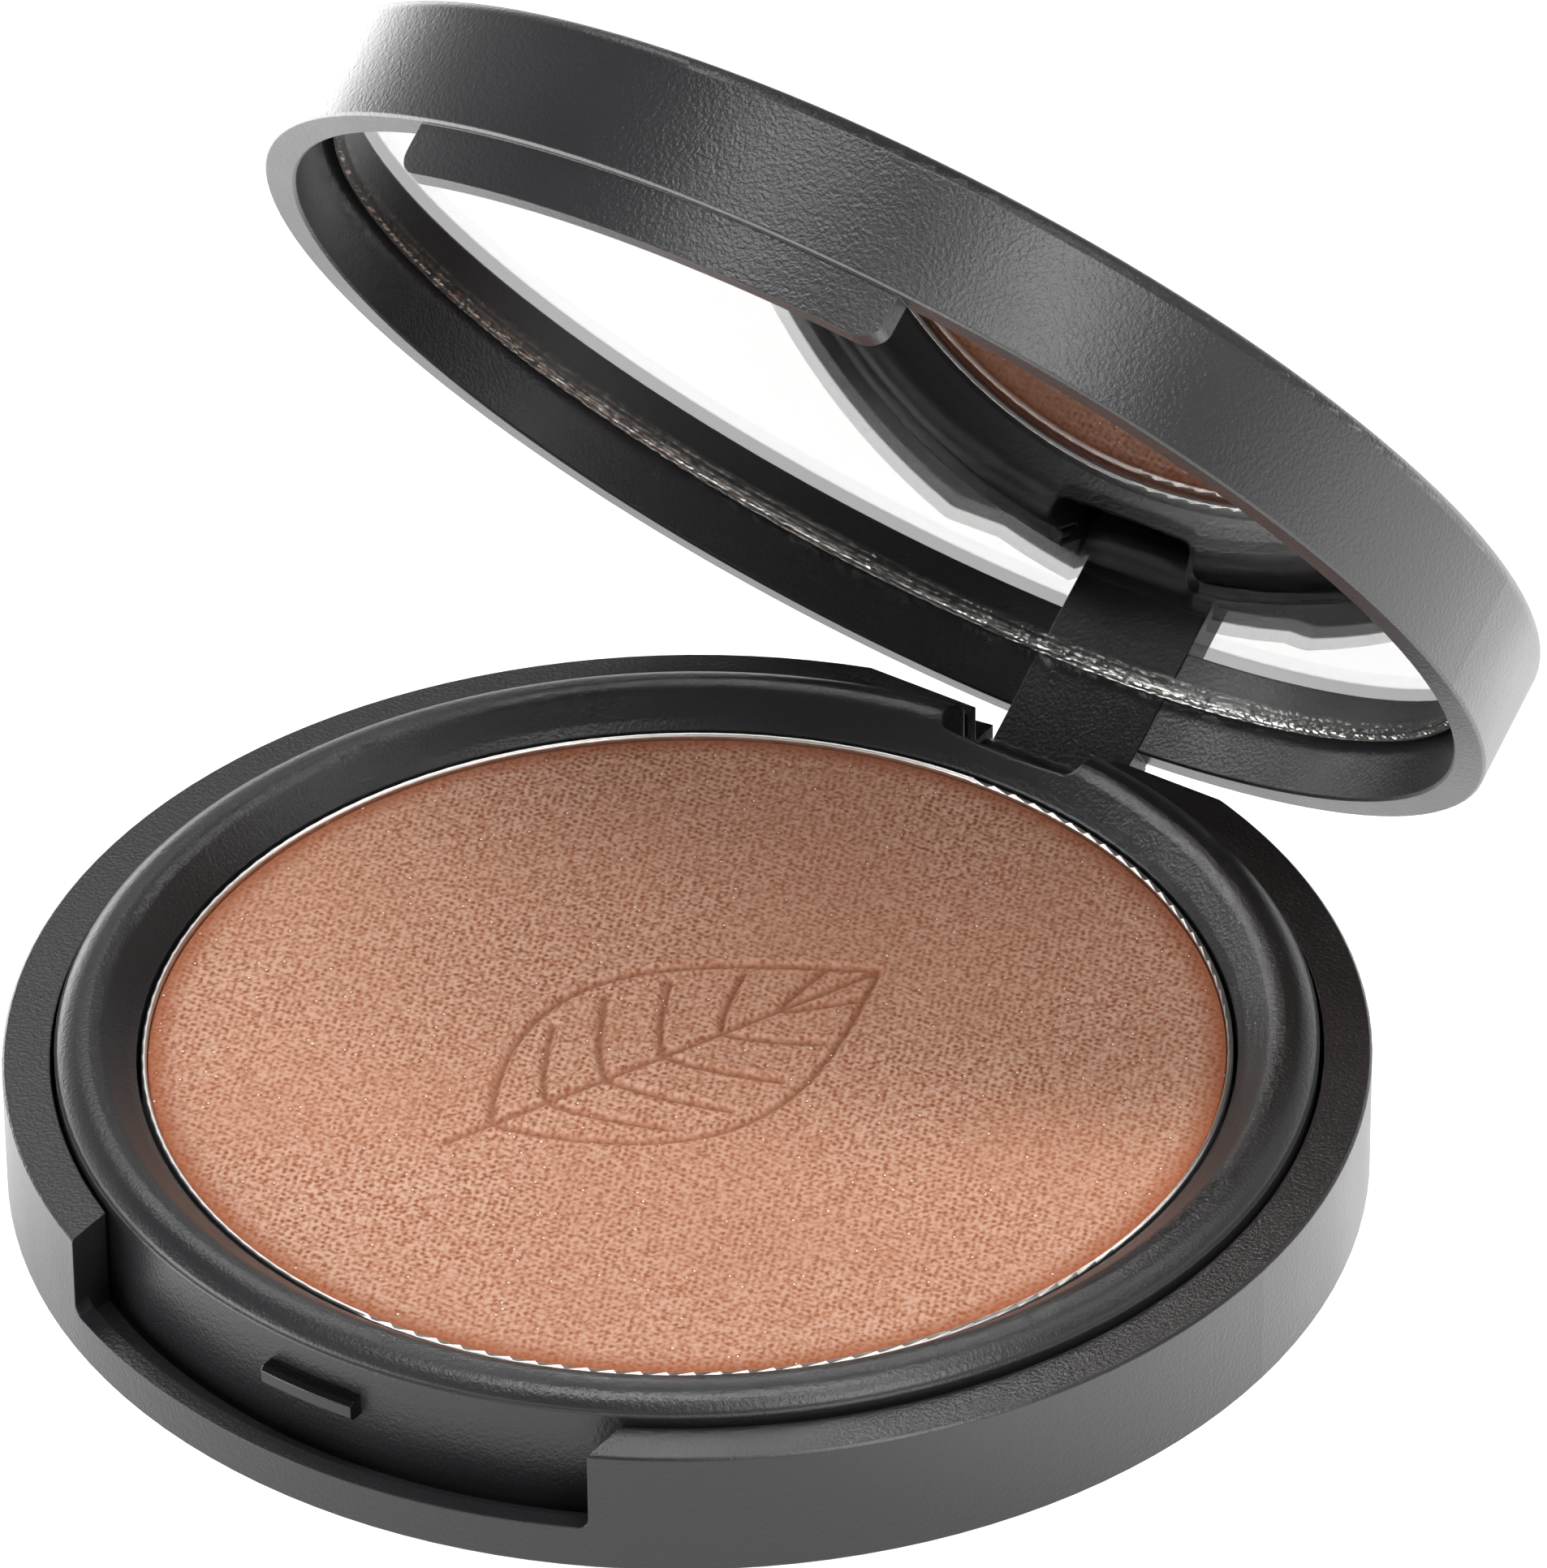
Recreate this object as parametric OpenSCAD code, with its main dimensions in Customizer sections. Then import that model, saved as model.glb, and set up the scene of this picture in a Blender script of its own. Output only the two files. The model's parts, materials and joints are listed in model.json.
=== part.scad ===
// Round pressed-powder compact with a hinged mirror lid. Millimetres, +Z up.
// The origin is the centre of the flat underside, and the hinge is at the back, on +Y.

/* [Base] */
// Outer diameter of the base
base_d = 74; // [72:0.5:76]
// Height of the ledge that the lid closes on
ledge_z = 7.4; // [7:0.1:8]
// Thickness of the base floor
floor_t = 1.2; // [1:0.1:1.4]
// Thickness of the base's outer wall
base_wall = 1.5; // [1.2:0.1:1.8]
// Thickness of the ledge
ledge_t = 1.5; // [1.2:0.1:1.8]

/* [Inner frame] */
// Outer diameter of the raised ring and of its skirt
ring_d = 68.3; // [68:0.1:68.5]
// Height of the ring's crest
ring_crest_z = 8.9; // [8.5:0.1:9.2]
// Diameter of the ring's crest
ring_crest_d = 64.6; // [64:0.1:65]
// Diameter of the well that the pan drops into
well_d = 59.5; // [59.4:0.1:60]

/* [Powder pan] */
// Outer diameter of the pan, the standard 59 mm size
pan_d = 59; // [58:0.5:59]
// Height of the pan
pan_h = 3.8; // [3.4:0.1:4]
// Thickness of the pan's sheet metal
pan_t = 0.3; // [0.2:0.05:0.4]
// Depth of the powder's surface below the pan's rim
powder_drop = 0.25; // [0.1:0.05:0.6]

/* [Thumb recess and latch] */
// Half of the width of the thumb recess
recess_half_w = 16.65; // [16:0.05:17]
// Height of the lip in front of the recess
recess_lip_z = 2.6; // [2.2:0.1:3]
// Half of the width of the lid's tab
tab_half_w = 15; // [14:0.1:15.4]
// Depth of the tab below the lid's rim
tab_drop = 2.95; // [2.6:0.05:3]
// Width of the catch
catch_w = 5.8; // [5:0.1:7]

/* [Lid] */
// Outer diameter of the lid
lid_d = 73.6; // [73:0.1:73.8]
// Height of the lid from its rim to its top
lid_h = 7.4; // [7:0.1:8]
// Thickness of the lid's wall
lid_wall = 1.9; // [1.7:0.1:2]
// Thickness of the lid's top plate
lid_plate = 1.5; // [1.3:0.1:1.6]
// Angle that the lid stands open at
lid_open = 54.4; // [0:0.1:95]
// Diameter of the mirror
mirror_d = 68.6; // [67:0.1:68.6]
// Thickness of the mirror
mirror_t = 1.8; // [1.6:0.1:1.9]

/* [Hinge] */
// Distance of the hinge pin behind the centre
hinge_y = 34.85; // [34.8:0.05:34.9]
// Height of the hinge pin
hinge_z = 3.5; // [3.4:0.05:3.6]
// Diameter of the hinge pin
pin_d = 1.2; // [1:0.1:1.2]
// Half of the width of the notch for the hinge leg
notch_half_w = 4.6; // [4.5:0.1:5]
// Width of the hinge leg
leg_w = 8.4; // [8:0.1:8.6]

/* [Hidden] */
$fn = 96;
eps = 0.01;
far = 60; // longer than any cut needs to be

// Base
base_r = base_d / 2;
wall_in_r = base_r - base_wall;
edge_soft = 0.15; // chamfer on the base's outer edges
ring_r = ring_d / 2;
ledge_in_r = ring_r + 0.25; // leaves an open line round the ring
crest_r = ring_crest_d / 2;
ring_foot_z = ledge_z + 0.55; // height of the step round the dome's foot
ring_step = 0.15; // width and height of that step
ring_inner_r = 1.45; // radius of the dome between its crest and the slope
ring_slope = 39; // slope of the ring's inner side, in degrees
bevel = 0.45; // bevel round the well's mouth
well_r = well_d / 2;
well_wall = 0.8;
skirt_t = 1.15;
well_floor_z = 2.2;
well_floor_t = 0.8;
roof_t = 1; // thickness of the frame under the ring's inner edge
ring_hollow_z = ledge_z - 1.4;

// Pan and powder
adhesive_t = 0.4;
adhesive_r = 12;
pan_z = well_floor_z + well_floor_t + adhesive_t;
powder_r = pan_d / 2 - pan_t - 0.05;
powder_top_z = pan_z + pan_h - powder_drop;
powder_edge = 0.2;

// Thumb recess and catch
trough_z = 1.6;
lip_t = 1.1;
recess_rib = 1.5;
recess_corner = 0.6;
catch_out_r = 35.1;
catch_z = 4.9;
catch_h = 1.2;
catch_plug = 0.7; // depth of the catch's plug in the skirt
catch_soft = 0.25;

// Lid, drawn closed
lid_gap = 0.12;
lid_r = lid_d / 2;
lid_in_r = lid_r - lid_wall;
rim_z = ledge_z + lid_gap;
lid_top_z = rim_z + lid_h;
lid_ceiling_z = lid_top_z - lid_plate;
lid_round = 0.9; // radius of the lid's top edge
rim_soft = 0.15;
tab_out_r = 36.45;
tab_in_r = 35.3;
tab_corner = 1.3;
mirror_tape_t = 0.9; // foam pads, as thick as the gap they fill
mirror_tape_r = 32;
mirror_z = lid_ceiling_z - mirror_tape_t - mirror_t;
mirror_edge = 0.4; // ground bevel round the mirror's face

// Hinge
pin_r = pin_d / 2;
pin_half_l = 9.2;
pin_run = 0.06; // running clearance in the leg
knuckle_r = 1.75;
notch_front_y = 31;
notch_corner = 0.7;
leg_y = 34.6;
leg_t = 2;
boss_half_w = 9.8;
boss_front_y = 32.6;
boss_top_z = 5.9;
flat_y = 34.95;
flat_half_w = 12.2;
flat_z = 5.2;

// Underside label
label_r = 14;
label_t = 0.15;

// A ring between two radii and two heights.
module band(r_in, r_out, z_low, z_high) {
    translate([0, 0, z_low])
        difference() {
            cylinder(r = r_out, h = z_high - z_low);
            if (r_in > 0)
                translate([0, 0, -1]) cylinder(r = r_in, h = z_high - z_low + 2);
        }
}

// A block given by its two opposite corners.
module block(low, high) {
    translate(low) cube(high - low);
}

// An upright rounded rectangle between two x and two z values, cut along Y.
module upright(x_low, x_high, z_low, z_high, corner) {
    rotate([90, 0, 0])
        linear_extrude(2 * far, center = true)
            union() {
                translate([x_low + corner, z_low]) square([x_high - x_low - 2 * corner, z_high - z_low]);
                translate([x_low, z_low + corner]) square([x_high - x_low, z_high - z_low - 2 * corner]);
                for (x = [x_low + corner, x_high - corner])
                    for (z = [z_low + corner, z_high - corner])
                        translate([x, z]) circle(r = corner);
            }
}

// The straight edge of the base where the hinge is.
module hinge_flat() {
    block([-flat_half_w, flat_y, flat_z], [flat_half_w, far, far]);
}

// The slot that the lid's leg swings in, with rounded front corners.
module hinge_notch(front_y, z_low) {
    corner_y = front_y + notch_corner;
    translate([0, 0, z_low])
        linear_extrude(far)
            union() {
                translate([-notch_half_w, corner_y]) square([2 * notch_half_w, far]);
                translate([notch_corner - notch_half_w, front_y])
                    square([2 * (notch_half_w - notch_corner), far]);
                for (side = [-1, 1])
                    translate([side * (notch_half_w - notch_corner), corner_y]) circle(r = notch_corner);
            }
}

// Places something drawn on the closed lid at the angle that the lid stands open at.
module on_lid() {
    translate([0, hinge_y, hinge_z])
        rotate([-lid_open, 0, 0])
            translate([0, -hinge_y, -hinge_z])
                children();
}

// A cylinder along the hinge line.
module along_hinge(r, x_low, x_high) {
    translate([x_low, hinge_y, hinge_z]) rotate([0, 90, 0]) cylinder(r = r, h = x_high - x_low);
}

// Outer tub: floor, outer wall and the ledge that the lid closes on.
module base_tub() {
    rotate_extrude()
        polygon([
            [0, 0],
            [base_r - edge_soft, 0],
            [base_r, edge_soft],
            [base_r, ledge_z - edge_soft],
            [base_r - edge_soft, ledge_z],
            [ledge_in_r, ledge_z],
            [ledge_in_r, ledge_z - ledge_t],
            [wall_in_r, ledge_z - ledge_t],
            [wall_in_r, floor_t],
            [0, floor_t]
        ]);
}

// The two bosses that hold the hinge pin's ends.
module pin_bosses() {
    intersection() {
        cylinder(r = wall_in_r + eps, h = boss_top_z);
        for (side = [-1, 1])
            block(
                [side > 0 ? notch_half_w : -boss_half_w, boss_front_y, floor_t - eps],
                [side > 0 ? boss_half_w : -notch_half_w, far, boss_top_z]
            );
    }
}

// The recess's raised floor and the ribs that close its two ends.
module recess_lining() {
    intersection() {
        band(ledge_in_r, wall_in_r + eps, floor_t - eps, ledge_z - edge_soft);
        union() {
            block([-recess_half_w, -far, 0], [recess_half_w, 0, trough_z]);
            for (side = [-1, 1])
                block(
                    [side > 0 ? recess_half_w : -recess_half_w - recess_rib, -far, 0],
                    [side > 0 ? recess_half_w + recess_rib : -recess_half_w, 0, far]
                );
        }
    }
}

module base_shell() {
    color([0.2, 0.2, 0.21])
        difference() {
            union() {
                base_tub();
                pin_bosses();
                recess_lining();
            }
            // thumb recess: open above the lip, and hollow behind it
            intersection() {
                upright(-recess_half_w, recess_half_w, recess_lip_z, far, recess_corner);
                block([-far, -far, 0], [far, 0, far]);
            }
            intersection() {
                block([-recess_half_w, -far, trough_z], [recess_half_w, 0, far]);
                cylinder(r = base_r - lip_t, h = far);
            }
            hinge_flat();
            hinge_notch(boss_front_y - 1, floor_t);
            // bore for the pin: blind at one end, and open at the other so that the pin can be driven in
            along_hinge(pin_r, -pin_half_l, flat_half_w + 2);
            translate([0, 0, -eps]) cylinder(r = label_r + 0.05, h = label_t + eps);
        }
}

// Half-sections of the inner frame. The outer side of the ring is a dome that ends on a small step.
module ring_outer_section() {
    dome_r = ring_r - ring_step;
    outer_arc = arc_r(dome_r - crest_r, ring_crest_z - ring_foot_z - ring_step);
    intersection() {
        translate([crest_r, ring_crest_z - outer_arc]) circle(r = outer_arc);
        translate([crest_r, ring_hollow_z]) square([dome_r - crest_r, far]);
    }
}

// The ring's inner side turns down from the crest and then slopes to a bevel at the well's mouth.
module ring_inner_section() {
    slope_r = crest_r - ring_inner_r * sin(ring_slope);
    slope_z = ring_crest_z - ring_inner_r * (1 - cos(ring_slope));
    mouth_r = well_r + bevel;
    mouth_z = slope_z - (slope_r - mouth_r) * tan(ring_slope);
    difference() {
        translate([well_r, ring_hollow_z]) square([crest_r - well_r + eps, ring_crest_z - ring_hollow_z]);
        polygon([
            [well_r - eps, mouth_z - bevel - eps],
            [mouth_r, mouth_z],
            [slope_r, slope_z],
            [slope_r, ring_crest_z + 1],
            [well_r - eps, ring_crest_z + 1]
        ]);
        // what is left above the arc between the slope and the crest
        difference() {
            translate([slope_r - eps, slope_z - eps]) square([crest_r - slope_r + eps, far]);
            translate([crest_r, ring_crest_z - ring_inner_r]) circle(r = ring_inner_r);
        }
    }
}

// The skirt that stands on the base's floor, and the well for the pan.
module frame_support_section() {
    translate([ring_r - skirt_t, floor_t]) square([skirt_t, ring_foot_z - floor_t]);
    translate([well_r, well_floor_z]) square([well_wall, ring_hollow_z + roof_t - well_floor_z]);
    translate([0, well_floor_z]) square([well_r + eps, well_floor_t]);
}

// Radius of the arc that falls by drop at a distance of run from its crest.
function arc_r(run, drop) = (run * run + drop * drop) / (2 * drop);

module inner_frame() {
    color([0.17, 0.17, 0.18])
        difference() {
            union() {
                rotate_extrude() ring_outer_section();
                rotate_extrude() ring_inner_section();
                rotate_extrude() frame_support_section();
            }
            hinge_notch(notch_front_y, floor_t - 0.2);
            // room for the pin bosses under the ring
            block(
                [-boss_half_w - 0.1, boss_front_y - 0.1, 0],
                [boss_half_w + 0.1, far, boss_top_z + 0.05]
            );
            // socket for the catch's plug
            block(
                [-catch_w / 2 + 0.5, -ring_r - 1, catch_z],
                [catch_w / 2 - 0.5, -ring_r + catch_plug, catch_z + catch_h]
            );
        }
}

// Glossy insert that the tab snaps over.
module latch_catch() {
    color([0.04, 0.04, 0.045])
        union() {
            intersection() {
                rotate_extrude()
                    polygon([
                        [ring_r, catch_z],
                        [catch_out_r - catch_soft, catch_z],
                        [catch_out_r, catch_z + catch_soft],
                        [catch_out_r, catch_z + catch_h - catch_soft],
                        [catch_out_r - catch_soft, catch_z + catch_h],
                        [ring_r, catch_z + catch_h]
                    ]);
                block([-catch_w / 2, -far, 0], [catch_w / 2, 0, far]);
            }
            block(
                [-catch_w / 2 + 0.5, -ring_r - 0.2, catch_z],
                [catch_w / 2 - 0.5, -ring_r + catch_plug, catch_z + catch_h]
            );
        }
}

module hinge_pin() {
    color([0.6, 0.6, 0.62])
        along_hinge(pin_r, -pin_half_l, pin_half_l);
}

module base_label() {
    color([0.1, 0.1, 0.1])
        cylinder(r = label_r, h = label_t);
}

module pan_adhesive() {
    color([0.85, 0.84, 0.8])
        band(0, adhesive_r, pan_z - adhesive_t, pan_z);
}

module pan() {
    pan_r = pan_d / 2;
    color([0.8, 0.8, 0.8])
        rotate_extrude()
            union() {
                translate([0, pan_z]) square([pan_r, pan_t]);
                translate([pan_r - pan_t, pan_z]) square([pan_t, pan_h - pan_t / 2]);
                // the rim is rounded over
                translate([pan_r - pan_t / 2, pan_z + pan_h - pan_t / 2]) circle(d = pan_t);
            }
}

module powder() {
    powder_z = pan_z + pan_t;
    color([0.78, 0.56, 0.46])
        rotate_extrude()
            union() {
                translate([0, powder_z])
                    square([powder_r, powder_top_z - powder_edge - powder_z]);
                translate([0, powder_z])
                    square([powder_r - powder_edge, powder_top_z - powder_z]);
                intersection() {
                    translate([powder_r - powder_edge, powder_top_z - powder_edge]) circle(r = powder_edge);
                    translate([powder_r - powder_edge - eps, powder_top_z - powder_edge - eps])
                        square(powder_edge + eps);
                }
            }
}

// The lid's cup: top plate and wall, drawn closed.
module lid_cup() {
    rotate_extrude()
        difference() {
            union() {
                translate([0, rim_z]) square([lid_r, lid_h - lid_round]);
                translate([0, rim_z]) square([lid_r - lid_round, lid_h]);
                translate([lid_r - lid_round, lid_top_z - lid_round]) circle(r = lid_round);
            }
            translate([-eps, rim_z - 1]) square([lid_in_r + eps, lid_ceiling_z - rim_z + 1]);
            // softened rim edges
            polygon([
                [lid_r - rim_soft, rim_z - eps],
                [lid_r + eps, rim_z - eps],
                [lid_r + eps, rim_z + rim_soft]
            ]);
            polygon([
                [lid_in_r - eps, rim_z - eps],
                [lid_in_r + rim_soft, rim_z - eps],
                [lid_in_r - eps, rim_z + rim_soft]
            ]);
        }
}

// The tab that drops into the thumb recess, drawn closed.
module lid_tab() {
    intersection() {
        band(tab_in_r, tab_out_r, rim_z - tab_drop, rim_z + 1);
        upright(-tab_half_w, tab_half_w, rim_z - tab_drop, rim_z + 3, tab_corner);
        block([-far, -far, 0], [far, 0, far]);
    }
}

// The leg that reaches down to the hinge pin, drawn closed.
module lid_leg() {
    intersection() {
        block([-leg_w / 2, leg_y, hinge_z], [leg_w / 2, leg_y + leg_t, lid_ceiling_z + 0.2]);
        union() {
            cylinder(r = lid_r - 0.1, h = lid_ceiling_z + 1);
            block([-far, 0, 0], [far, far, rim_z - 0.2]);
        }
    }
    along_hinge(knuckle_r, -leg_w / 2, leg_w / 2);
}

module lid_shell() {
    color([0.2, 0.2, 0.21])
        on_lid()
            difference() {
                union() {
                    lid_cup();
                    lid_tab();
                    lid_leg();
                }
                along_hinge(pin_r + pin_run, -far, far);
            }
}

module mirror_adhesive() {
    color([0.85, 0.84, 0.8])
        on_lid()
            band(0, mirror_tape_r, lid_ceiling_z - mirror_tape_t, lid_ceiling_z);
}

module mirror() {
    mirror_r = mirror_d / 2;
    color([0.8, 0.85, 0.88])
        on_lid()
            rotate_extrude()
                polygon([
                    [0, mirror_z],
                    [mirror_r - mirror_edge, mirror_z],
                    [mirror_r, mirror_z + mirror_edge / 2],
                    [mirror_r, mirror_z + mirror_t],
                    [0, mirror_z + mirror_t]
                ]);
}

base_shell();
inner_frame();
latch_catch();
hinge_pin();
base_label();
pan_adhesive();
pan();
powder();
lid_shell();
mirror_adhesive();
mirror();
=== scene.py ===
# %% [markdown]
# # A round powder compact, standing open
# The CAD model fixes every size, place and hinge. This lesson gives it its looks: moulded plastic
# with a fine grain, a glass mirror, a bright metal pan and a cake of pressed powder. The model is
# loaded first, and the sizes that the new pieces need are read from it before anything is added.

# %% Load the CAD model
import json
import math

import bpy
import numpy as np
from mathutils import Matrix, Vector


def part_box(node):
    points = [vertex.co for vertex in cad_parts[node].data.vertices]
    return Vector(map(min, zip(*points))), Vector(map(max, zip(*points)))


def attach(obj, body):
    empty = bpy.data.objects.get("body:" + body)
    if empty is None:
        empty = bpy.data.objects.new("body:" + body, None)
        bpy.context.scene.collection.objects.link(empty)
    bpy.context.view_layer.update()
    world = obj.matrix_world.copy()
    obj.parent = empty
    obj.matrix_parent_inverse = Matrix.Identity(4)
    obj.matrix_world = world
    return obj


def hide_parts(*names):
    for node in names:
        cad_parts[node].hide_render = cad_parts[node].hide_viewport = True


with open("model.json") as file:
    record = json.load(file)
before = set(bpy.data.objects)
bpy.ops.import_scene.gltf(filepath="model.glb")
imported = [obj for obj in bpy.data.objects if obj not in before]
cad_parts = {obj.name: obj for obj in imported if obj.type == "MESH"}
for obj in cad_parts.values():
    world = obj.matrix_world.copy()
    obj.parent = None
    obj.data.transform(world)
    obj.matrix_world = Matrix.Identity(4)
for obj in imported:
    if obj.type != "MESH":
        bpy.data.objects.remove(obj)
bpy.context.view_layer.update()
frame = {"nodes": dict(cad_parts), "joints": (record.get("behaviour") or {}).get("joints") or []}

# %% [markdown]
# ## Helpers
# Sizes are thought of in millimetres and stored in metres, and colours are read as the hex values of
# a colour card. Material trees are long to write by hand, so one small function adds a node with its
# settings and its links.

# %% Units and colours
def mm(value):
    """Millimetres to metres."""
    return value / 1000


def linear(hex_colour):
    """An sRGB hex colour, such as "#c58d73", as linear RGBA."""
    channels = [int(hex_colour[i:i + 2], 16) / 255 for i in (1, 3, 5)]
    return [c / 12.92 if c <= 0.04045 else ((c + 0.055) / 1.055) ** 2.4 for c in channels] + [1]


# %% Node helper
def add(tree, kind, values=None, links=None, **settings):
    """Adds a node. values and links go by input name or number; settings are the node's own."""
    made = tree.nodes.new(kind)
    for name, setting in settings.items():
        setattr(made, name, setting)
    for socket, value in (values or {}).items():
        made.inputs[socket].default_value = value
    for socket, source in (links or {}).items():
        tree.links.new(source, made.inputs[socket])
    return made


def start_material(name):
    """A new material with only its output node."""
    material = bpy.data.materials.new(name)
    material.use_nodes = True
    material.node_tree.nodes.clear()
    output = add(material.node_tree, "ShaderNodeOutputMaterial")
    return material, material.node_tree, output


def paint(node_name, material):
    """Gives a CAD node's object a material on its own slots, and leaves its mesh alone."""
    for slot in frame["nodes"][node_name].material_slots:
        slot.link = "OBJECT"
        slot.material = material
    print("painted", node_name, "with", material.name)


# %% [markdown]
# ## Where things are
# Everything on the lid is easier to draw with the lid shut, flat above the base. The hinge joint says
# how far the lid has turned from there, so one matrix carries a shut point to its place on the open
# lid, and its inverse reads sizes back from the CAD mirror.

# %% Hinge
hinge = frame["joints"][0]
hinge_point = Vector(hinge["pos_m"])
open_angle = math.radians(-hinge["range_deg"][0])
lid_turn = (
    Matrix.Translation(hinge_point)
    @ Matrix.Rotation(open_angle, 4, Vector(hinge["axis"]))
    @ Matrix.Translation(-hinge_point)
)
print("the lid stands open at", round(math.degrees(open_angle), 1), "degrees")

# %% Sizes read from the frame
def shut_points(node_name):
    """A lid node's vertices with the lid shut, as an array."""
    undo = lid_turn.inverted()
    return np.array([undo @ v.co for v in frame["nodes"][node_name].data.vertices])


powder_low, powder_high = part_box("powder")
powder_r = powder_high.x
powder_top = powder_high.z
mirror_points = shut_points("mirror")
mirror_r = mirror_points[:, 0].max()
mirror_face_z = mirror_points[:, 2].min()
mirror_back_z = mirror_points[:, 2].max()
print("powder radius and top:", round(powder_r * 1000, 2), round(powder_top * 1000, 2), "mm")
mirror_sizes = [round(v * 1000, 2) for v in (mirror_r, mirror_face_z, mirror_back_z)]
print("mirror radius, face and back:", mirror_sizes, "mm")

# %% [markdown]
# ## Camera
# A small product like this is shot from about two thirds of a metre with a very long lens, so that
# its circles stay true ellipses. The camera looks down at about 35 degrees, from the front and a
# little to the right, and it is rolled by half a degree.

# %% Camera
CAMERA_AZIMUTH = math.radians(34.81)
CAMERA_ELEVATION = math.radians(34.83)
CAMERA_ROLL = math.radians(0.57)
CAMERA_DISTANCE = mm(673.8)
LENS_MM = 294.3
AIM = Vector((mm(8.24), mm(-3.43), mm(29.33)))

towards_camera = Vector((
    math.sin(CAMERA_AZIMUTH) * math.cos(CAMERA_ELEVATION),
    -math.cos(CAMERA_AZIMUTH) * math.cos(CAMERA_ELEVATION),
    math.sin(CAMERA_ELEVATION),
))
camera = bpy.data.objects.new("camera", bpy.data.cameras.new("camera"))
camera.data.lens = LENS_MM
camera.data.sensor_width = 36
camera.data.clip_start = mm(10)
camera.location = AIM + towards_camera * CAMERA_DISTANCE
camera.rotation_euler = (
    (-towards_camera).to_track_quat("-Z", "Y").to_matrix()
    @ Matrix.Rotation(-CAMERA_ROLL, 3, "Z")
).to_euler()
bpy.context.scene.collection.objects.link(camera)
bpy.context.scene.camera = camera
print("camera at", [round(v, 3) for v in camera.location])

# %% [markdown]
# ## Table and light
# The compact stands on a sheet of opal acrylic lit from below, as product tables are, so it casts no
# hard shadow and the mirror looks down into plain white. The sheet is brightest over its lamps, at the
# front left and at the right: the front of the ledge and of the ring see the first by way of the
# mirror, and turn light grey. A long strip hangs overhead, and the front of the ring reflects it. A
# low box at the left puts the grainy highlight on the far side of the ring, by way of the mirror. The
# right box puts the soft glow on the lid's wall, and two weak ones behind keep the ring's crest from
# going black. The room between them is dim, so the walls of the case stay charcoal.

# %% Opal table
def opal_acrylic(glow, lamps):
    """Opal acrylic lit from below: glow near the compact, and more above each of the lamps.

    A lamp is a direction, the distances in mm that its light starts and is full at, and its strength.
    """
    material, tree, output = start_material("opal_acrylic_sheet")
    place = add(tree, "ShaderNodeTexCoord")
    at = {"Vector": place.outputs["Object"]}
    cloud = add(tree, "ShaderNodeTexNoise", {"Scale": 8.0, "Detail": 2.0}, at)
    gloss = add(tree, "ShaderNodeMapRange", {"To Min": 0.5, "To Max": 0.6}, {"Value": cloud.outputs["Fac"]})
    strength = None
    for direction, start, full, extra in lamps:
        along = add(
            tree,
            "ShaderNodeVectorMath",
            {1: direction},
            {0: place.outputs["Object"]},
            operation="DOT_PRODUCT",
        )
        lamp = add(
            tree,
            "ShaderNodeMapRange",
            {"From Min": mm(start), "From Max": mm(full), "To Max": extra},
            {"Value": along.outputs["Value"]},
            interpolation_type="SMOOTHSTEP",
        )
        strength = add(
            tree,
            "ShaderNodeMath",
            {1: glow},
            {0: lamp.outputs["Result"]} if strength is None
            else {0: lamp.outputs["Result"], 1: strength.outputs[0]},
            operation="ADD",
        )
    shader = add(
        tree,
        "ShaderNodeBsdfPrincipled",
        {
            "Base Color": linear("#5c5c5c"),
            "Emission Color": linear("#ffffff"),
            "Specular IOR Level": 0.1,
        },
        {"Roughness": gloss.outputs["Result"], "Emission Strength": strength.outputs[0]},
    )
    tree.links.new(shader.outputs["BSDF"], output.inputs["Surface"])
    return material


TABLE_SIZE = 4.0
TABLE_GAP = mm(0.02)
TABLE_GLOW = 1.42
TABLE_LAMPS = [((-0.8, -0.6, 0), 35, 75, 5.2), ((0.99, 0.1, 0), 28, 50, 1.2)]
half = TABLE_SIZE / 2
table_mesh = bpy.data.meshes.new("table")
table_corners = [(-half, -half, 0), (half, -half, 0), (half, half, 0), (-half, half, 0)]
table_mesh.from_pydata(table_corners, [], [(0, 1, 2, 3)])
table = bpy.data.objects.new("table", table_mesh)
table.location.z = -TABLE_GAP
table.data.materials.append(opal_acrylic(TABLE_GLOW, TABLE_LAMPS))
bpy.context.scene.collection.objects.link(table)
print("the table glows at", TABLE_GLOW, "and brighter over", len(TABLE_LAMPS), "lamps")

# %% Room
ROOM_LOW = 0.6
ROOM_HIGH = 0.1
ROOM_FADE = (0.15, 0.75)


def dim_room():
    """A world that fades from ROOM_LOW at the horizon to ROOM_HIGH overhead.

    ROOM_FADE holds the sines of the elevations that the fade starts and ends at.
    """
    world = bpy.data.worlds.new("room")
    world.use_nodes = True
    tree = world.node_tree
    where = add(tree, "ShaderNodeTexCoord")
    height = add(tree, "ShaderNodeSeparateXYZ", links={"Vector": where.outputs["Generated"]})
    fade = add(
        tree,
        "ShaderNodeMapRange",
        {"From Min": ROOM_FADE[0], "From Max": ROOM_FADE[1], "To Min": ROOM_LOW, "To Max": ROOM_HIGH},
        {"Value": height.outputs["Z"]},
        interpolation_type="SMOOTHSTEP",
    )
    background = tree.nodes["Background"]
    background.inputs["Color"].default_value = linear("#ffffff")
    tree.links.new(fade.outputs["Result"], background.inputs["Strength"])
    return world


bpy.context.scene.world = dim_room()
bpy.context.scene.view_settings.view_transform = "Standard"


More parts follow.
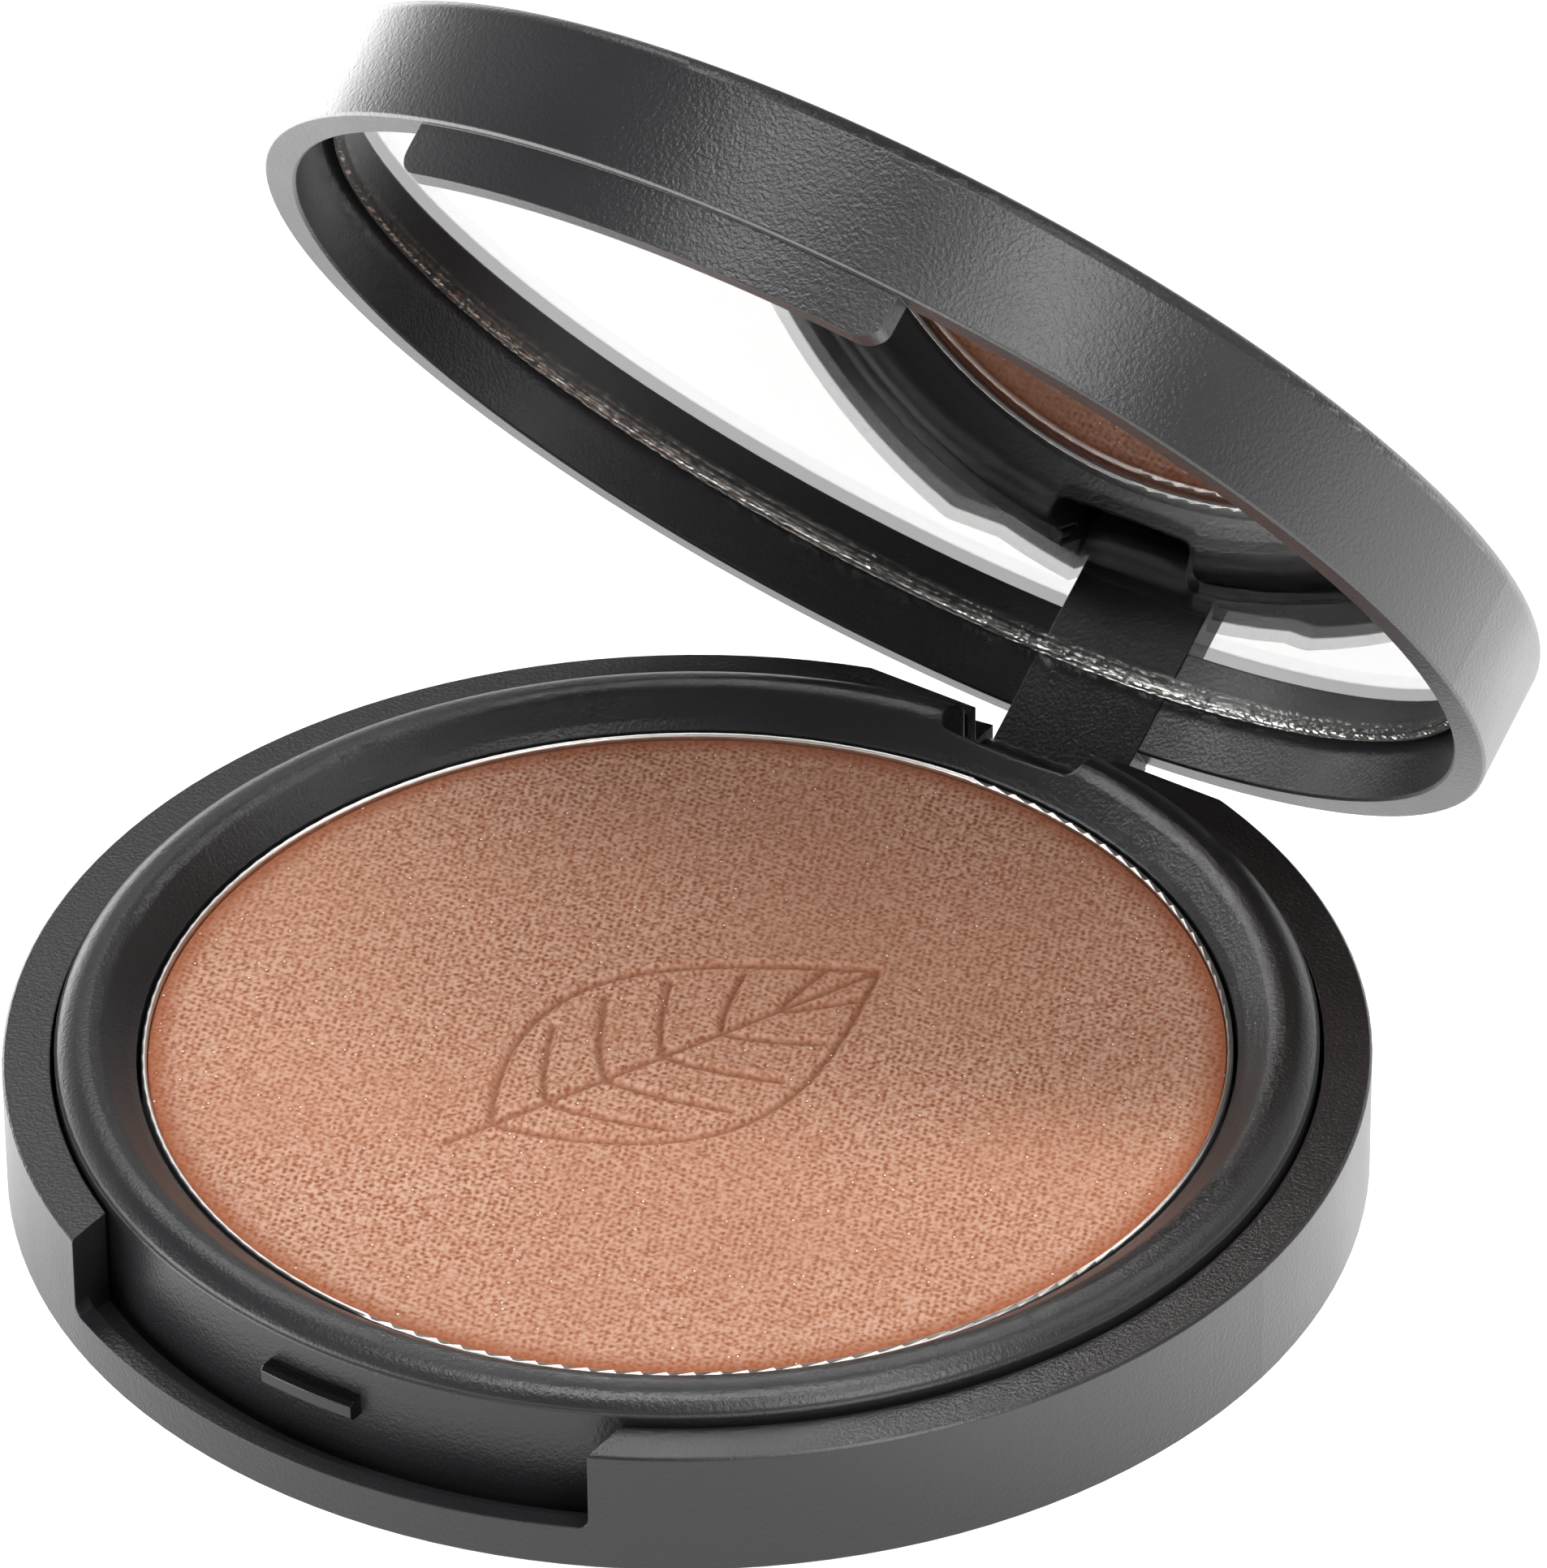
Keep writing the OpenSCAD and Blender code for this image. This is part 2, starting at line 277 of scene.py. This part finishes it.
# %% Soft boxes
def soft_box(name, azimuth, elevation, size, watts, long_side=(1, 0, 0)):
    """A soft box BOX_DISTANCE from the compact, at an azimuth and elevation in degrees.

    size is its length and width in metres; the length runs as near to long_side as it can.
    """
    a, e = math.radians(azimuth), math.radians(elevation)
    away = Vector((math.sin(a) * math.cos(e), -math.cos(a) * math.cos(e), math.sin(e)))
    side = (Vector(long_side) - away * away.dot(Vector(long_side))).normalized()
    light = bpy.data.objects.new(name, bpy.data.lights.new(name, "AREA"))
    light.data.shape = "RECTANGLE"
    light.data.size, light.data.size_y = size
    light.data.energy = watts
    light.location = AIM + away * BOX_DISTANCE
    light.rotation_euler = Matrix((side, away.cross(side), away)).transposed().to_euler()
    bpy.context.scene.collection.objects.link(light)
    print(name, "is", size, "m, with", watts, "watts")


BOX_DISTANCE = 0.9
soft_box("overhead_strip", 28, 85, (0.74, 0.16), 5.2, long_side=(0.83, 0.56, 0))
soft_box("low_left_box", -46, 10, (0.6, 0.36), 5.0, long_side=(0.67, -0.74, 0))
soft_box("right_box", 70, 46, (0.38, 0.38), 3.8)
soft_box("right_card", 108, 8, (0.4, 0.4), 0.6)
soft_box("back_left_box", -130, 50, (0.36, 0.36), 1.6)
soft_box("back_right_box", 144, 48, (0.36, 0.36), 1.0)

# %% [markdown]
# ## Moulded plastic
# The case is ABS, injection moulded in a steel tool whose faces were spark eroded. That leaves a
# satin skin of tiny pits, about a quarter of a millimetre across here, which glitter where light grazes
# them. Real pits are finer still; these are as coarse as they need to be to show. The noise drives a
# bump, a slower one changes the roughness a little, as the melt's flow does, and a bevel in the
# shading gives each moulded edge the thin bright line of a real one. The ring's bevel is wider,
# because it also smooths the small steps that the model's facets leave in its reflections.

# %% Spark-eroded ABS
def spark_eroded_abs(name, skin, grain_mm, pit_um, roughness, edge_mm):
    """Satin moulded ABS with pits grain_mm wide and pit_um deep, and edges rounded by edge_mm."""
    material, tree, output = start_material(name)
    place = add(tree, "ShaderNodeTexCoord")
    at = {"Vector": place.outputs["Object"]}
    pits = add(tree, "ShaderNodeTexNoise", {"Scale": 1 / mm(grain_mm), "Detail": 2.0, "Roughness": 0.6}, at)
    flow = add(tree, "ShaderNodeTexNoise", {"Scale": 1 / mm(9), "Detail": 3.0}, at)
    edges = add(tree, "ShaderNodeBevel", {"Radius": mm(edge_mm)}, samples=6)
    surface = add(
        tree,
        "ShaderNodeBump",
        {"Strength": 1.0, "Distance": mm(pit_um / 1000)},
        {"Height": pits.outputs["Fac"], "Normal": edges.outputs["Normal"]},
    )
    gloss = add(
        tree,
        "ShaderNodeMapRange",
        {"From Min": 0.3, "From Max": 0.7, "To Min": roughness - 0.03, "To Max": roughness + 0.03},
        {"Value": flow.outputs["Fac"]},
    )
    shader = add(
        tree,
        "ShaderNodeBsdfPrincipled",
        {"Base Color": linear(skin), "IOR": 1.52},
        {"Roughness": gloss.outputs["Result"], "Normal": surface.outputs["Normal"]},
    )
    tree.links.new(shader.outputs["BSDF"], output.inputs["Surface"])
    return material


case_plastic = spark_eroded_abs("charcoal_abs_spark_eroded", "#1c1c1e", 0.24, 34, 0.32, 0.12)
frame_plastic = spark_eroded_abs("charcoal_abs_ring", "#1c1c1e", 0.24, 34, 0.33, 0.25)
paint("base_shell", case_plastic)
paint("lid_shell", case_plastic)
paint("inner_frame", frame_plastic)


# %% Polished catch
def polished_abs(name, skin):
    """The catch's insert comes out of a polished tool, so it is glossy and only faintly wavy."""
    material, tree, output = start_material(name)
    place = add(tree, "ShaderNodeTexCoord")
    wave = add(tree, "ShaderNodeTexNoise", {"Scale": 1 / mm(1.2)}, {"Vector": place.outputs["Object"]})
    edges = add(tree, "ShaderNodeBevel", {"Radius": mm(0.1)}, samples=4)
    surface = add(
        tree,
        "ShaderNodeBump",
        {"Distance": mm(0.01)},
        {"Height": wave.outputs["Fac"], "Normal": edges.outputs["Normal"]},
    )
    shader = add(
        tree,
        "ShaderNodeBsdfPrincipled",
        {"Base Color": linear(skin), "IOR": 1.52, "Roughness": 0.08},
        {"Normal": surface.outputs["Normal"]},
    )
    tree.links.new(shader.outputs["BSDF"], output.inputs["Surface"])
    return material


paint("latch_catch", polished_abs("black_abs_polished", "#060607"))

# %% [markdown]
# ## Metal parts
# The pan is pressed from aluminium sheet and its rim is trimmed bright, so it shows as a fine pale
# ring. The hinge pin is drawn steel wire, with faint lines along its length. Both are metals with
# the shader's own IOR; only colour, roughness and the direction of the lines differ.

# %% Drawn and rolled metal
def worked_metal(name, colour, roughness, line_mm, stretch):
    """Bare metal whose fine lines are line_mm apart; stretch scales the pattern along X, Y and Z."""
    material, tree, output = start_material(name)
    place = add(tree, "ShaderNodeTexCoord")
    along = add(tree, "ShaderNodeMapping", {"Scale": stretch}, {"Vector": place.outputs["Object"]})
    lines = add(
        tree,
        "ShaderNodeTexNoise",
        {"Scale": 1 / mm(line_mm), "Detail": 3.0},
        {"Vector": along.outputs["Vector"]},
    )
    surface = add(tree, "ShaderNodeBump", {"Distance": mm(0.004)}, {"Height": lines.outputs["Fac"]})
    gloss = add(
        tree,
        "ShaderNodeMapRange",
        {"To Min": roughness - 0.06, "To Max": roughness + 0.06},
        {"Value": lines.outputs["Fac"]},
    )
    shader = add(
        tree,
        "ShaderNodeBsdfPrincipled",
        {"Base Color": linear(colour), "Metallic": 1.0},
        {"Roughness": gloss.outputs["Result"], "Normal": surface.outputs["Normal"]},
    )
    tree.links.new(shader.outputs["BSDF"], output.inputs["Surface"])
    return material


paint("pan", worked_metal("aluminium_sheet_bright", "#f6f4f0", 0.34, 0.2, (1, 1, 6)))
paint("hinge_pin", worked_metal("steel_wire_drawn", "#c8c8ca", 0.28, 0.1, (0.05, 1, 1)))

# %% [markdown]
# ## Tape and label
# Foam tape holds the pan and the mirror, and a plain film label covers the middle of the underside.
# They hardly show, but each has its own surface: an open foam, and a film with a fine tooth.

# %% Tape and label
def toothed_film(name, colour, tooth_mm, tooth_um, roughness):
    """A matt sheet whose surface is a fine tooth of tooth_mm across and tooth_um deep."""
    material, tree, output = start_material(name)
    place = add(tree, "ShaderNodeTexCoord")
    at = {"Vector": place.outputs["Object"]}
    tooth = add(tree, "ShaderNodeTexNoise", {"Scale": 1 / mm(tooth_mm), "Detail": 4.0}, at)
    surface = add(tree, "ShaderNodeBump", {"Distance": mm(tooth_um / 1000)}, {"Height": tooth.outputs["Fac"]})
    shader = add(
        tree,
        "ShaderNodeBsdfPrincipled",
        {"Base Color": linear(colour), "Roughness": roughness},
        {"Normal": surface.outputs["Normal"]},
    )
    tree.links.new(shader.outputs["BSDF"], output.inputs["Surface"])
    return material


foam = toothed_film("polyethylene_foam_tape", "#e6e3d8", 0.25, 40, 0.8)
paint("pan_adhesive", foam)
paint("mirror_adhesive", foam)
paint("base_label", toothed_film("polypropylene_film_matt", "#1b1b1c", 0.12, 6, 0.5))

# %% [markdown]
# ## Mirror
# A compact's mirror is float glass, 1.8 mm thick, silvered on its back and ground round its edge.
# A single shiny disc would miss what shows that: looking in at a low angle, the eye sees the ground
# edge through the face, as a broken bright line, and a second faint image from the face itself. So
# the plate is a real slab of glass with a frosted edge, and the silver is a thin disc behind it.

# %% Turned shape
def turned(name, profile, segments, materials, band_slots):
    """Turns a profile of (radius, z) points round Z; band_slots gives each band's material slot."""
    angles = [2 * math.pi * i / segments for i in range(segments)]
    points = [(r * math.cos(a), r * math.sin(a), z) for r, z in profile for a in angles]
    faces, slots = [], []
    for band, slot in enumerate(band_slots):
        for i in range(segments):
            j = (i + 1) % segments
            low, high = band * segments, (band + 1) * segments
            faces.append((low + i, low + j, high + j, high + i))
            slots.append(slot)
    first, last = range(segments), range((len(profile) - 1) * segments, len(profile) * segments)
    faces += [tuple(reversed(first)), tuple(last)]
    slots += [band_slots[0], band_slots[-1]]
    mesh = bpy.data.meshes.new(name)
    mesh.from_pydata(points, [], faces)
    for face, slot in zip(mesh.polygons, slots):
        face.material_index = slot
    for material in materials:
        mesh.materials.append(material)
    shape = bpy.data.objects.new(name, mesh)
    bpy.context.scene.collection.objects.link(shape)
    print(name, "has", len(mesh.polygons), "faces")
    return shape


# %% Glass, ground edge and silver
def float_glass():
    """Clear low-iron float glass, polished by its own making; all that shows is its shine."""
    material, tree, output = start_material("float_glass")
    shader = add(
        tree,
        "ShaderNodeBsdfPrincipled",
        {"Base Color": linear("#fdfdfd"), "IOR": 1.52, "Transmission Weight": 1.0, "Roughness": 0.0},
    )
    tree.links.new(shader.outputs["BSDF"], output.inputs["Surface"])
    return material


def ground_glass_edge():
    """The wheel leaves a wavy edge with chips, which glints like metal where it's seen from inside."""
    material, tree, output = start_material("ground_glass_edge")
    place = add(tree, "ShaderNodeTexCoord")
    at = {"Vector": place.outputs["Object"]}
    waves = add(tree, "ShaderNodeTexNoise", {"Scale": 1 / mm(2.2), "Detail": 2.0}, at)
    chips = add(tree, "ShaderNodeTexVoronoi", {"Scale": 1 / mm(0.5)}, at)
    height = add(
        tree,
        "ShaderNodeMath",
        {1: 0.25},
        {0: chips.outputs["Distance"], 2: waves.outputs["Fac"]},
        operation="MULTIPLY_ADD",
    )
    surface = add(tree, "ShaderNodeBump", {"Distance": mm(0.3)}, {"Height": height.outputs[0]})
    shader = add(
        tree,
        "ShaderNodeBsdfPrincipled",
        {"Base Color": linear("#f4f4f0"), "Metallic": 1.0, "Roughness": 0.2},
        {"Normal": surface.outputs["Normal"]},
    )
    tree.links.new(shader.outputs["BSDF"], output.inputs["Surface"])
    return material


def silvering():
    """Silver laid on the back of glass: a near-perfect mirror, with a breath of haze."""
    material, tree, output = start_material("silvering")
    place = add(tree, "ShaderNodeTexCoord")
    haze = add(tree, "ShaderNodeTexNoise", {"Scale": 1 / mm(6)}, {"Vector": place.outputs["Object"]})
    gloss = add(tree, "ShaderNodeMapRange", {"To Min": 0.0, "To Max": 0.008}, {"Value": haze.outputs["Fac"]})
    shader = add(
        tree,
        "ShaderNodeBsdfPrincipled",
        {"Base Color": linear("#c1bfbe"), "Metallic": 1.0},
        {"Roughness": gloss.outputs["Result"]},
    )
    tree.links.new(shader.outputs["BSDF"], output.inputs["Surface"])
    return material


# %% Mirror plate
SILVER_T = mm(0.03)
ARRIS = mm(0.35)

glass_back_z = mirror_back_z - 2 * SILVER_T
plate = turned(
    "mirror_plate",
    [
        (mirror_r - ARRIS, mirror_face_z),
        (mirror_r, mirror_face_z + ARRIS / 2),
        (mirror_r, glass_back_z - ARRIS / 2),
        (mirror_r - ARRIS, glass_back_z),
    ],
    256,
    [float_glass(), ground_glass_edge()],
    [1, 1, 1],
)
for face in plate.data.polygons:
    if abs(face.normal.z) > 0.99:
        face.material_index = 0
silver = turned(
    "mirror_silver",
    [(mirror_r - ARRIS, mirror_back_z - SILVER_T), (mirror_r - ARRIS, mirror_back_z)],
    256,
    [silvering()],
    [0],
)
for piece in (plate, silver):
    piece.data.transform(lid_turn)
    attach(piece, "lid")
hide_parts("mirror")

# %% [markdown]
# ## Powder
# Pressed powder is stamped into its pan through a mesh cloth, which leaves a lattice of tiny pits
# about 0.4 mm apart, and a die presses the decoration, here a plain leaf. It is real relief in the mesh,
# because its lines catch the light; the cloth's pits are too fine for that and go in the material.
# The cake is drawn as rings of points, close together only where the decoration needs them.

# %% Decoration
LEAF_LENGTH = 25.0
LEAF_HALF_WIDTH = 7.6
LEAF_STALK = 3.0
LEAF_HEADING = math.radians(68)
VEIN_STARTS = (0.14, 0.29, 0.44, 0.59, 0.74)
VEIN_REACH = 0.82


def leaf_half_width(share):
    """Half the leaf's width at a share of its length from the stalk; it is widest before the middle."""
    return LEAF_HALF_WIDTH * np.sin(np.pi * np.asarray(share) ** 0.85)


def leaf():
    """The decoration's lines, in millimetres: an outline, a midrib with a stalk, and paired veins."""
    share = np.linspace(0, 1, 60)
    middle = [(-LEAF_STALK, 0), (LEAF_LENGTH, 0)]
    lines = [np.array(middle)]
    for side in (-1, 1):
        lines.append(np.stack([share * LEAF_LENGTH, side * leaf_half_width(share)], 1))
        for start in VEIN_STARTS:
            end = min(start + 0.16, 0.95)
            reach = side * VEIN_REACH * leaf_half_width(end)
            run = np.linspace(0, 1, 16)
            lines.append(np.stack([(start + (end - start) * run**1.3) * LEAF_LENGTH, reach * run], 1))
    turn = np.array([
        [math.cos(LEAF_HEADING), math.sin(LEAF_HEADING)],
        [-math.sin(LEAF_HEADING), math.cos(LEAF_HEADING)],
    ])
    return [(line - (LEAF_LENGTH / 2, 0)) @ turn for line in lines]


decoration = leaf()
print("the leaf has", len(decoration), "lines")


# %% Powder cake
CLOSE_R = mm(17)
CLOSE_STEP = mm(0.11)
CAKE_SEGMENTS = 800
CAKE_EDGE = mm(0.2)
LINE_DEPTH = mm(0.22)
LINE_WIDTH = mm(0.27)
SHOULDER_RISE = 0.3
SHOULDER_AWAY = 2.1


def distance_to_lines(points, lines):
    """How far each point lies from the nearest of the lines, all in the same unit."""
    nearest = np.full(len(points), np.inf)
    for line in lines:
        for start, end in zip(line[:-1], line[1:]):
            span = end - start
            share = np.clip((points - start) @ span / (span @ span), 0, 1)
            nearest = np.minimum(nearest, np.linalg.norm(points - start - share[:, None] * span, axis=1))
    return nearest


def powder_cake():
    """The pressed cake: a domed edge, the leaf's grooves with soft shoulders, and its wall."""
    close = np.arange(CLOSE_STEP, CLOSE_R, CLOSE_STEP)
    wide = np.linspace(CLOSE_R, powder_r - CAKE_EDGE, 14)
    turn = np.linspace(0, math.pi / 2, 9)[1:]
    edge = powder_r - CAKE_EDGE + CAKE_EDGE * np.sin(turn)
    radii = np.concatenate([close, wide, edge, [powder_r]])
    flat_drops = np.zeros(len(close) + len(wide))
    edge_drops = CAKE_EDGE * (1 - np.cos(turn))
    drops = np.concatenate([flat_drops, edge_drops, [powder_high.z - powder_low.z]])
    angles = np.linspace(0, 2 * math.pi, CAKE_SEGMENTS, endpoint=False)
    x = np.outer(radii, np.cos(angles)).ravel()
    y = np.outer(radii, np.sin(angles)).ravel()
    z = np.repeat(powder_top - drops, CAKE_SEGMENTS)
    flat = np.stack([x, y], 1)
    near = np.hypot(x, y) < CLOSE_R
    away = distance_to_lines(flat[near] * 1000, decoration) / 1000
    groove = -LINE_DEPTH * np.exp(-((away / LINE_WIDTH) ** 2))
    from_shoulder = (away - SHOULDER_AWAY * LINE_WIDTH) / LINE_WIDTH
    shoulder = LINE_DEPTH * SHOULDER_RISE * np.exp(-(from_shoulder**2))
    z[near] += groove + shoulder
    centre = np.array([[0, 0, powder_top]])
    points = np.concatenate([centre, np.stack([x, y, z], 1)])
    count = len(radii)
    i = np.arange(CAKE_SEGMENTS)
    j = (i + 1) % CAKE_SEGMENTS
    faces = [tuple(f) for f in np.stack([np.zeros_like(i), 1 + i, 1 + j], 1).tolist()]
    for ring in range(count - 1):
        low, high = 1 + ring * CAKE_SEGMENTS, 1 + (ring + 1) * CAKE_SEGMENTS
        faces += np.stack([low + i, high + i, high + j, low + j], 1).tolist()
    faces.append([1 + (count - 1) * CAKE_SEGMENTS + k for k in reversed(range(CAKE_SEGMENTS))])
    mesh = bpy.data.meshes.new("powder_cake")
    mesh.from_pydata(points.tolist(), [], faces)
    mesh.shade_smooth()
    cake = bpy.data.objects.new("powder_cake", mesh)
    bpy.context.scene.collection.objects.link(cake)
    print("the cake has", len(mesh.polygons), "faces")
    return cake


cake = powder_cake()

# %% [markdown]
# ## Powder colour
# The powder is talc and mica with iron oxides, so it is matt, with a warm clay colour in a random
# mottle, darker and redder towards its rim. Painted shade makes the pits of the cloth and the die's
# lines darker and redder, and painted highlight lightens the cloth's raised tops. A few larger mica
# flakes lie flat, and their flash is painted in as near-white specks, a painted glint.

# %% Pressed powder
# spacing in mm, direction in degrees and weight of each set of the cloth's threads
CLOTH_LINES = [(0.377, 24.7, 0.32), (0.393, 87.0, 0.24), (0.372, -32.2, 0.16)]


def cloth_wave(tree, place, spacing_mm, direction):
    """Even waves spacing_mm apart that run across direction, in degrees, from 0 to 1."""
    turned_place = add(
        tree,
        "ShaderNodeMapping",
        {"Rotation": (0, 0, -math.radians(direction))},
        {"Vector": place},
    )
    # the wave texture has 20 / (2 pi) waves for each unit of scale and length
    return add(
        tree,
        "ShaderNodeTexWave",
        {"Scale": 2 * math.pi / 20 / mm(spacing_mm), "Distortion": 2.4, "Detail": 1.0, "Detail Scale": 1.5},
        {"Vector": turned_place.outputs["Vector"]},
        bands_direction="X",
    )


# mica flakes are finer than this; their painted glints are drawn as coarse as they need to be to show
FLAKE_MM = 0.36
FLAKE_REACH = 0.17
FLAKE_SHARE = 0.06


def pressed_powder():
    """Pressed mica powder: crumbs, patches, a darker rim, painted shade in the cloth's pits and the die's
    lines, painted highlight on the cloth's tops and painted glints on mica flakes.
    """
    material, tree, output = start_material("pressed_mica_powder")
    place = add(tree, "ShaderNodeTexCoord").outputs["Object"]
    weave = None
    for spacing, direction, weight in CLOTH_LINES:
        wave = cloth_wave(tree, place, spacing, direction)
        share = add(tree, "ShaderNodeMath", {1: weight}, {0: wave.outputs["Fac"]}, operation="MULTIPLY")
        weave = share if weave is None else add(
            tree, "ShaderNodeMath", links={0: weave.outputs[0], 1: share.outputs[0]}, operation="ADD"
        )
    grains = add(tree, "ShaderNodeTexVoronoi", {"Scale": 1 / mm(0.36), "Randomness": 0.9}, {"Vector": place})
    crumbs = add(tree, "ShaderNodeTexNoise", {"Scale": 1 / mm(0.26), "Detail": 2.0}, {"Vector": place})
    grained = add(
        tree,
        "ShaderNodeMath",
        {1: 1.1},
        {0: grains.outputs["Distance"], 2: weave.outputs[0]},
        operation="MULTIPLY_ADD",
    )
    rough_weave = add(
        tree,
        "ShaderNodeMath",
        {1: 2.2},
        {0: crumbs.outputs["Fac"], 2: grained.outputs[0]},
        operation="MULTIPLY_ADD",
    )
    level = add(
        tree,
        "ShaderNodeMapRange",
        {"From Min": 1.3, "From Max": 2.5},
        {"Value": rough_weave.outputs[0]},
    )
    # partly painted light: the ramp gives the powder's own random mottle, and also paints shade into the
    # cloth's pits and highlight onto its raised tops
    skin = add(tree, "ShaderNodeValToRGB", links={"Fac": level.outputs["Result"]})
    stops = skin.color_ramp.elements
    stops[0].position, stops[0].color = 0.08, linear("#8d4c2f")
    stops[1].position, stops[1].color = 0.95, linear("#cda590")
    stops.new(0.45).color = linear("#b07d62")
    patches = add(tree, "ShaderNodeTexNoise", {"Scale": 1 / mm(11), "Detail": 2.0}, {"Vector": place})
    patch_tone = add(
        tree,
        "ShaderNodeMapRange",
        {"From Min": 0.35, "From Max": 0.65, "To Min": 0.0, "To Max": 0.35},
        {"Value": patches.outputs["Fac"]},
    )
    toned = add(
        tree,
        "ShaderNodeMix",
        {7: linear("#b47b5d")},
        {0: patch_tone.outputs["Result"], 6: skin.outputs["Color"]},
        data_type="RGBA",
    )
    flat_place = add(tree, "ShaderNodeVectorMath", {1: (1, 1, 0)}, {0: place}, operation="MULTIPLY")
    out = add(tree, "ShaderNodeVectorMath", links={0: flat_place.outputs["Vector"]}, operation="LENGTH")
    rim = add(
        tree,
        "ShaderNodeMapRange",
        {"From Min": powder_r - mm(1.6), "From Max": powder_r - mm(0.2), "To Max": 0.85},
        {"Value": out.outputs["Value"]},
    )
    rimmed = add(
        tree,
        "ShaderNodeMix",
        {7: linear("#97502c")},
        {0: rim.outputs["Result"], 6: toned.outputs[2]},
        data_type="RGBA",
    )
    # painted shade: the die's lines are darkened by their depth below the top of the cake
    height = add(tree, "ShaderNodeSeparateXYZ", links={"Vector": place})
    groove_shade = add(
        tree,
        "ShaderNodeMapRange",
        {"From Min": powder_top - mm(0.02), "From Max": powder_top - LINE_DEPTH, "To Max": 0.75},
        {"Value": height.outputs["Z"]},
    )
    groove_shaded = add(
        tree,
        "ShaderNodeMix",
        {7: linear("#8e5437")},
        {0: groove_shade.outputs["Result"], 6: rimmed.outputs[2]},
        data_type="RGBA",
    )
    # painted glint: a few flake cells are painted near-white, standing in for the flash of flat mica
    flakes = add(tree, "ShaderNodeTexVoronoi", {"Scale": 1 / mm(FLAKE_MM)}, {"Vector": place})
    near_flake = add(
        tree,
        "ShaderNodeMath",
        {1: FLAKE_REACH},
        {0: flakes.outputs["Distance"]},
        operation="LESS_THAN",
    )
    pick = add(tree, "ShaderNodeSeparateColor", links={"Color": flakes.outputs["Color"]})
    chosen = add(
        tree,
        "ShaderNodeMath",
        {1: 1 - FLAKE_SHARE},
        {0: pick.outputs["Red"]},
        operation="GREATER_THAN",
    )
    flake_glint = add(
        tree,
        "ShaderNodeMath",
        links={0: near_flake.outputs[0], 1: chosen.outputs[0]},
        operation="MULTIPLY",
    )
    final = add(
        tree,
        "ShaderNodeMix",
        {7: linear("#fbf4f2")},
        {0: flake_glint.outputs[0], 6: groove_shaded.outputs[2]},
        data_type="RGBA",
    )
    surface = add(tree, "ShaderNodeBump", {"Distance": mm(0.035)}, {"Height": level.outputs["Result"]})
    shader = add(
        tree,
        "ShaderNodeBsdfPrincipled",
        {"Roughness": 0.75, "Specular IOR Level": 0.35},
        {"Base Color": final.outputs[2], "Normal": surface.outputs["Normal"]},
    )
    tree.links.new(shader.outputs["BSDF"], output.inputs["Surface"])
    return material


cake.data.materials.append(pressed_powder())
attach(cake, "base")
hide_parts("powder")
print("powder cake in place")
